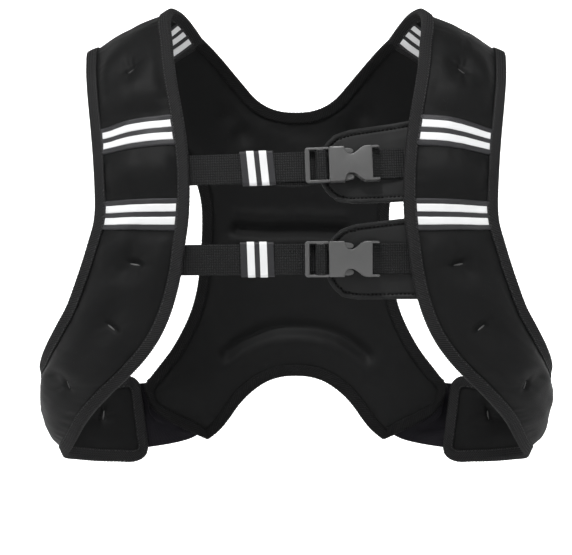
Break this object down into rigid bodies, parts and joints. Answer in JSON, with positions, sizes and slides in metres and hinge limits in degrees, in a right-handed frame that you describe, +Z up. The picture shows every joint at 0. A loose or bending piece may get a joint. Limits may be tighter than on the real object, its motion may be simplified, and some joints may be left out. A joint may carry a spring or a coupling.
{
  "type": "weighted vest",
  "caption": "Padded neoprene weighted vest with reflective bands and two webbing chest straps with side-release buckles.",
  "frame": {"origin": "middle plane of the vest, at the height of the underside of the shoulders, where it sits on the wearer", "axes": "+X to the wearer's left, -Y to the front, +Z up"},
  "size_m": [0.443, 0.2175, 0.3935],
  "materials": {
    "neoprene": "matte jersey-faced neoprene",
    "binding": "ribbed edge binding",
    "webbing": "woven webbing",
    "band": "satin woven tape",
    "stripe": "reflective film",
    "elastic": "knitted elastic",
    "plastic": "satin moulded acetal"
  },
  "bodies": {
    "root": {"back_panel": "neoprene", "neck_binding": "binding", "back_hem_binding": "binding", "front_panel_left": "neoprene", "front_binding_left": "binding", "side_elastic_left": "elastic", "shoulder_band_left": "band", "shoulder_stripe_1_left": "stripe", "shoulder_stripe_2_left": "stripe", "shoulder_stripe_3_left": "stripe", "upper_band_left": "band", "upper_stripe_1_left": "stripe", "upper_stripe_2_left": "stripe", "lower_band_left": "band", "lower_stripe_1_left": "stripe", "lower_stripe_2_left": "stripe", "front_panel_right": "neoprene", "front_binding_right": "binding", "side_elastic_right": "elastic", "shoulder_band_right": "band", "shoulder_stripe_1_right": "stripe", "shoulder_stripe_2_right": "stripe", "shoulder_stripe_3_right": "stripe", "upper_band_right": "band", "upper_stripe_1_right": "stripe", "upper_stripe_2_right": "stripe", "lower_band_right": "band", "lower_stripe_1_right": "stripe", "lower_stripe_2_right": "stripe", "upper_webbing_long": "webbing", "upper_webbing_short": "webbing", "upper_keeper": "band", "upper_keeper_stripe_1": "stripe", "upper_keeper_stripe_2": "stripe", "upper_buckle_male": "plastic", "upper_buckle_body": "plastic", "upper_buckle_flap": "neoprene", "lower_webbing_long": "webbing", "lower_webbing_short": "webbing", "lower_keeper": "band", "lower_keeper_stripe_1": "stripe", "lower_keeper_stripe_2": "stripe", "lower_buckle_male": "plastic", "lower_buckle_body": "plastic", "lower_buckle_flap": "neoprene"}
  },
  "joints": []
}
